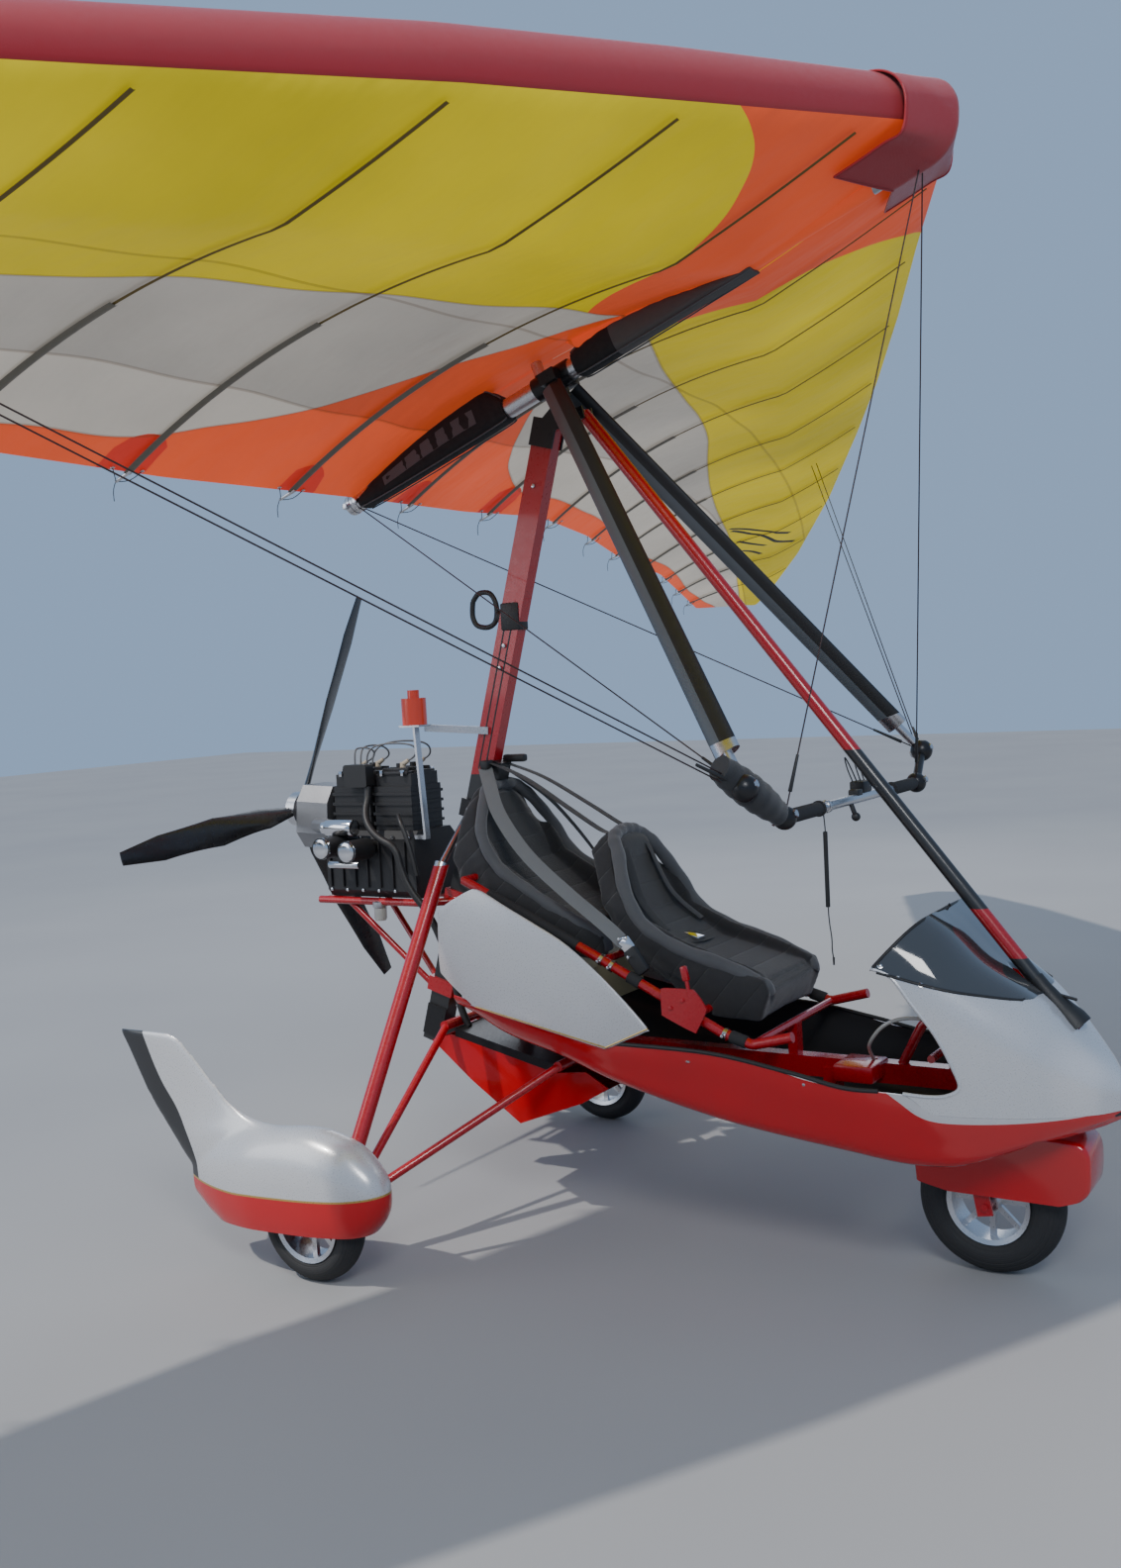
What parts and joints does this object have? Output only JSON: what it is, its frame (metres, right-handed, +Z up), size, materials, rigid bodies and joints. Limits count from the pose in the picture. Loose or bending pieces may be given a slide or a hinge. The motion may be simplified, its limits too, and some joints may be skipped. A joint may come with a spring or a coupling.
{
  "type": "two-seat flex-wing microlight aircraft",
  "caption": "Two-seat flex-wing microlight aircraft: an open pod on three wheels with a pusher engine, hung under a delta wing of coloured sailcloth.",
  "frame": {"origin": "on the ground, under the middle of the aircraft's bounding box", "axes": "+X forward to the nose, +Y to the aircraft's left along the wing's span, +Z up"},
  "size_m": [3.7676, 10.8, 3.6896],
  "materials": {
    "red_paint": "gloss",
    "black_paint": "satin",
    "red_shell": "gloss",
    "silver_shell": "metallic gloss",
    "engine_metal": "cast, dark",
    "bare_alloy": "brushed",
    "black_alloy": "black anodised",
    "grey_fairing": "satin",
    "steel_wire": "sleeved",
    "tyre": "matt",
    "black_plastic": "matt",
    "blade": "satin",
    "tank": "translucent",
    "bottle": "gloss",
    "seat_fabric": "quilted",
    "sailcloth": "woven, panelled",
    "dark_fabric": "woven",
    "smoked_screen": "smoked, see-through",
    "filter": "polished",
    "red_cloth": "woven"
  },
  "bodies": {
    "trike": {"main_beam": "red_paint", "mast": "red_paint", "mast_hinge": "black_paint", "mast_head": "black_paint", "front_strut": "red_paint", "engine_mount": "red_paint", "leg_clamp": "black_paint", "engine": "engine_metal", "gearbox": "bare_alloy", "main_leg_left": "red_paint", "main_leg_right": "red_paint", "axle_arms_left": "red_paint", "axle_arms_right": "red_paint", "spat_left": "silver_shell", "spat_right": "silver_shell", "pod_hull": "red_shell", "side_panel_left": "silver_shell", "side_panel_right": "silver_shell", "nose_cowl": "silver_shell", "front_seat": "seat_fabric", "rear_seat": "seat_fabric", "seat_frame": "red_paint", "fuel_tank": "tank", "belly_scoop": "red_shell", "coolant_bottle": "bottle", "starter_handle": "black_plastic", "windscreen": "smoked_screen", "radiator": "black_paint", "bottle_bracket": "bare_alloy", "belt_anchor": "black_plastic", "air_filters": "filter", "plug_box": "black_plastic"},
    "fork": {"front_fork": "red_paint", "front_mudguard": "red_shell"},
    "front_wheel": {"front_rim": "bare_alloy", "front_tyre": "tyre"},
    "rear_wheel_left": {"rear_rim_left": "bare_alloy", "rear_tyre_left": "tyre"},
    "rear_wheel_right": {"rear_rim_right": "bare_alloy", "rear_tyre_right": "tyre"},
    "propeller": {"propeller_hub": "bare_alloy", "propeller_blades": "blade"},
    "hang_link": {"hang_block": "black_alloy"},
    "wing": {"keel_tube": "bare_alloy", "apex_bracket": "black_alloy", "downtube_left": "grey_fairing", "downtube_right": "grey_fairing", "corner_left": "black_alloy", "corner_right": "black_alloy", "base_bar": "black_alloy", "sail_left": "sailcloth", "sail_right": "sailcloth", "sail_centre": "sailcloth", "keel_covers": "dark_fabric", "nose_cone": "red_cloth", "king_post": "bare_alloy", "lower_rigging": "steel_wire", "upper_rigging": "steel_wire"}
  },
  "joints": [
    {"name": "steering", "type": "hinge", "parent": "trike", "child": "fork", "pos_m": [1.449, 0, 0.5], "axis": [-0.2588, 0, 0.9659], "range_deg": [-25, 25]},
    {"name": "front_wheel_spin", "type": "hinge", "parent": "fork", "child": "front_wheel", "pos_m": [1.509, 0, 0.205], "axis": [0, 1, 0], "continuous": true},
    {"name": "rear_wheel_spin_left", "type": "hinge", "parent": "trike", "child": "rear_wheel_left", "pos_m": [-0.251, 0.86, 0.18], "axis": [0, 1, 0], "continuous": true},
    {"name": "rear_wheel_spin_right", "type": "hinge", "parent": "trike", "child": "rear_wheel_right", "pos_m": [-0.251, -0.86, 0.18], "axis": [0, 1, 0], "continuous": true},
    {"name": "propeller_spin", "type": "hinge", "parent": "trike", "child": "propeller", "pos_m": [-0.965, 0, 1.311], "axis": [0.9986, 0, -0.0523], "continuous": true},
    {"name": "wing_pitch", "type": "hinge", "parent": "trike", "child": "hang_link", "pos_m": [0.24001, 0, 2.59338], "axis": [0, 1, 0], "range_deg": [0, 20]},
    {"name": "wing_roll", "type": "hinge", "parent": "hang_link", "child": "wing", "pos_m": [0.22653, 0, 2.63104], "axis": [0.9415, 0, 0.3371], "range_deg": [-15, 15]}
  ]
}
